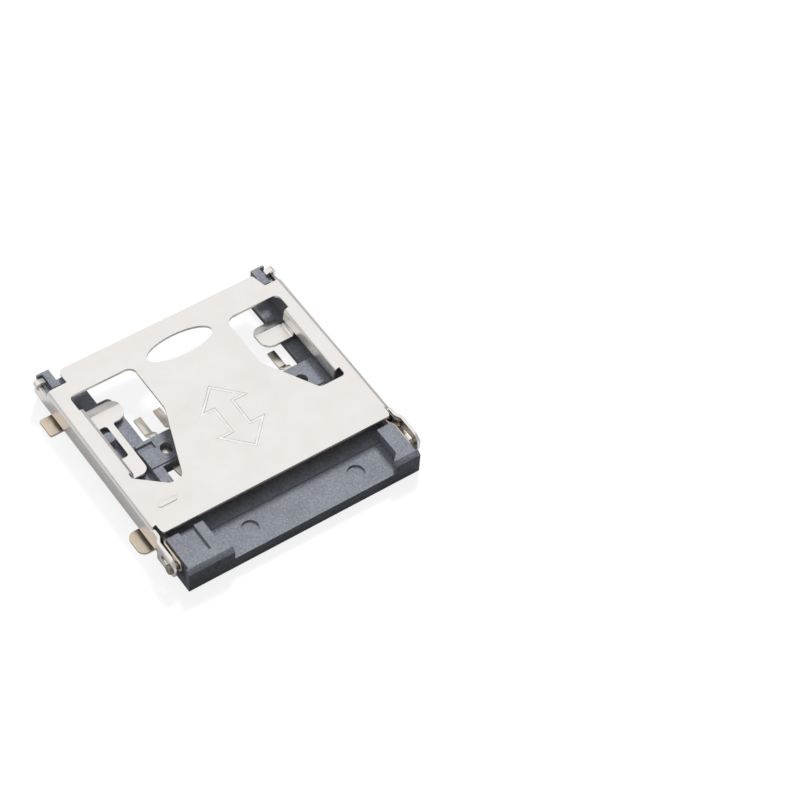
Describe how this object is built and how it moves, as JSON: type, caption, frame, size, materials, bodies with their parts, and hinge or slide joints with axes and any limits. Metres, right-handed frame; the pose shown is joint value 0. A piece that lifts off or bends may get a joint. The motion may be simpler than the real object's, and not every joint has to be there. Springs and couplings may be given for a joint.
{
  "type": "memory card socket",
  "caption": "Surface-mount socket for a small memory card, with a folded metal cover that slides to unlock and then swings open over spring contacts.",
  "frame": {"origin": "centre of the socket's outline on the board surface", "axes": "+Z away from the board, +Y from the hinge end to the free end of the cover, +X to the right as seen from above with the hinge end nearest"},
  "size_m": [0.0146, 0.0138, 0.0019],
  "materials": {
    "housing_plastic": "fine matt moulded texture",
    "cover_metal": "satin rolled sheet with bright cut edges",
    "contact_metal": "plated, gold at the solder tails and the contact tips",
    "bracket_metal": "pale gold plating, satin",
    "pin_metal": "turned, slightly duller than the cover"
  },
  "bodies": {
    "base": {"housing": "housing_plastic", "contact_1": "contact_metal", "contact_2": "contact_metal", "contact_3": "contact_metal", "contact_4": "contact_metal", "contact_5": "contact_metal", "contact_6": "contact_metal", "contact_7": "contact_metal", "contact_8": "contact_metal", "hinge_bracket_left": "bracket_metal", "hinge_bracket_right": "bracket_metal", "latch_bracket_left": "bracket_metal", "latch_bracket_right": "bracket_metal"},
    "pins": {"hinge_pin_left": "pin_metal", "hinge_pin_right": "pin_metal"},
    "lid": {"cover": "cover_metal"}
  },
  "joints": [
    {"name": "cover_swing", "type": "hinge", "parent": "base", "child": "pins", "pos_m": [0, -0.00588, 0.00103], "axis": [1, 0, 0], "range_deg": [0, 100]},
    {"name": "cover_slide", "type": "slide", "parent": "pins", "child": "lid", "axis": [0, -1, 0], "range_m": [0, 0.0006]}
  ]
}
